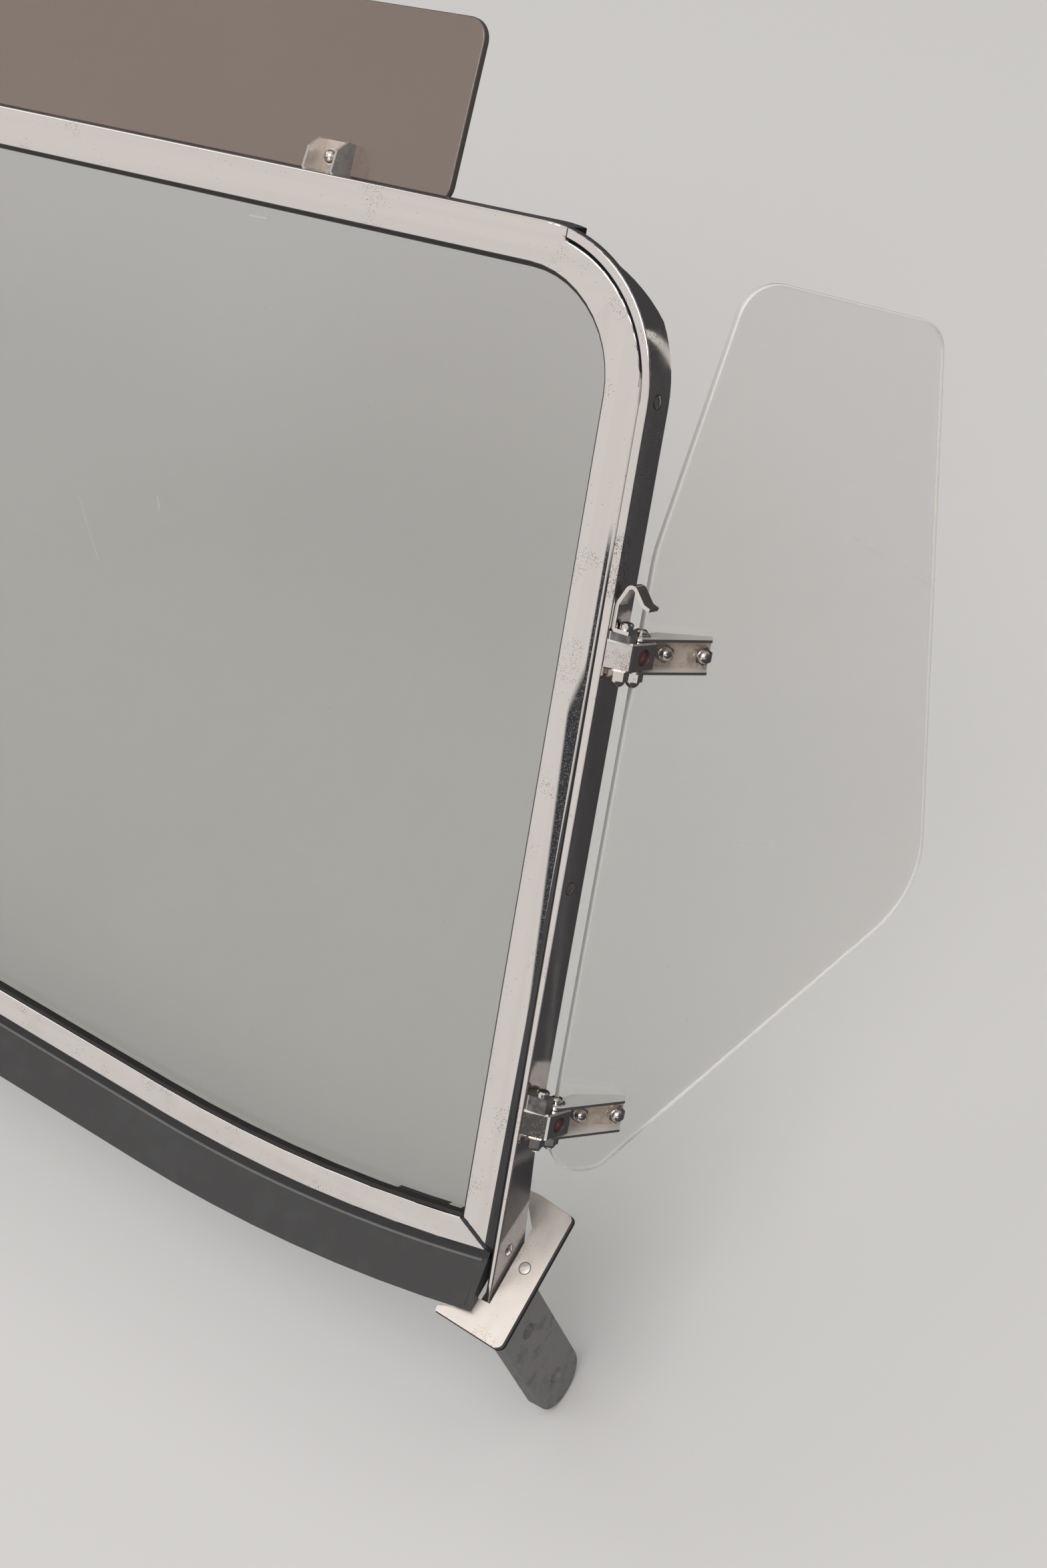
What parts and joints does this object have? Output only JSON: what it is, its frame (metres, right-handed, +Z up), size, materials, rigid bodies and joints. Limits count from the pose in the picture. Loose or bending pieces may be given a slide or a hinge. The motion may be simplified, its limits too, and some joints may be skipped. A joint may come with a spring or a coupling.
{
  "type": "sports car windscreen",
  "caption": "Raked windscreen assembly of an open sports car: framed flat pane on two legs, with hinged clear side deflectors and folding tinted visors.",
  "frame": {"origin": "centreline of the car, midway between the bolt holes of the two legs", "axes": "+X to the car's left, -Y to its front, +Z up"},
  "size_m": [1.396, 0.4152, 0.4842],
  "materials": {
    "chrome": "polished, lightly pitted",
    "stainless": "polished bar with fine scratches",
    "glass": "clear laminated glass, faint grey tint",
    "glazing_rubber": "black glazing rubber",
    "apron_rubber": "dark rubber, slightly shiny",
    "acrylic": "clear acrylic, polished edges",
    "smoked_acrylic": "smoky brown acrylic",
    "steel": "plated steel"
  },
  "bodies": {
    "screen": {"upper_frame": "chrome", "lower_rail": "chrome", "glass_pane": "glass", "glazing_seal": "glazing_rubber", "scuttle_seal": "apron_rubber", "left_post": "stainless", "left_leg": "steel", "left_base_plate": "chrome", "left_base_pad": "glazing_rubber", "left_upper_hinge_block": "chrome", "left_lower_hinge_block": "chrome", "left_block_bolts": "chrome", "left_hook": "chrome", "left_visor_blocks": "chrome", "right_post": "stainless", "right_leg": "steel", "right_base_plate": "chrome", "right_base_pad": "glazing_rubber", "right_upper_hinge_block": "chrome", "right_lower_hinge_block": "chrome", "right_block_bolts": "chrome", "right_hook": "chrome", "right_visor_blocks": "chrome"},
    "left_deflector": {"left_deflector_panel": "acrylic", "left_upper_channel": "stainless", "left_lower_channel": "stainless", "left_pivot_pins": "chrome", "left_panel_bolts": "chrome"},
    "left_visor": {"left_visor_panel": "smoked_acrylic", "left_visor_channels": "stainless", "left_visor_pins": "chrome", "left_visor_bolts": "chrome"},
    "right_deflector": {"right_deflector_panel": "acrylic", "right_upper_channel": "stainless", "right_lower_channel": "stainless", "right_pivot_pins": "chrome", "right_panel_bolts": "chrome"},
    "right_visor": {"right_visor_panel": "smoked_acrylic", "right_visor_channels": "stainless", "right_visor_pins": "chrome", "right_visor_bolts": "chrome"}
  },
  "joints": [
    {"name": "left_deflector_hinge", "type": "hinge", "parent": "screen", "child": "left_deflector", "pos_m": [0.612, 0.13305, 0.20664], "axis": [0, 0.6691, 0.7431], "range_deg": [-44, 26]},
    {"name": "left_visor_hinge", "type": "hinge", "parent": "screen", "child": "left_visor", "pos_m": [0.266, 0.31705, 0.39217], "axis": [-1, 0, 0], "range_deg": [0, 115]},
    {"name": "right_deflector_hinge", "type": "hinge", "parent": "screen", "child": "right_deflector", "pos_m": [-0.612, 0.13305, 0.20664], "axis": [0, -0.6691, -0.7431], "range_deg": [-44, 26]},
    {"name": "right_visor_hinge", "type": "hinge", "parent": "screen", "child": "right_visor", "pos_m": [-0.266, 0.31705, 0.39217], "axis": [-1, 0, 0], "range_deg": [0, 115]}
  ]
}
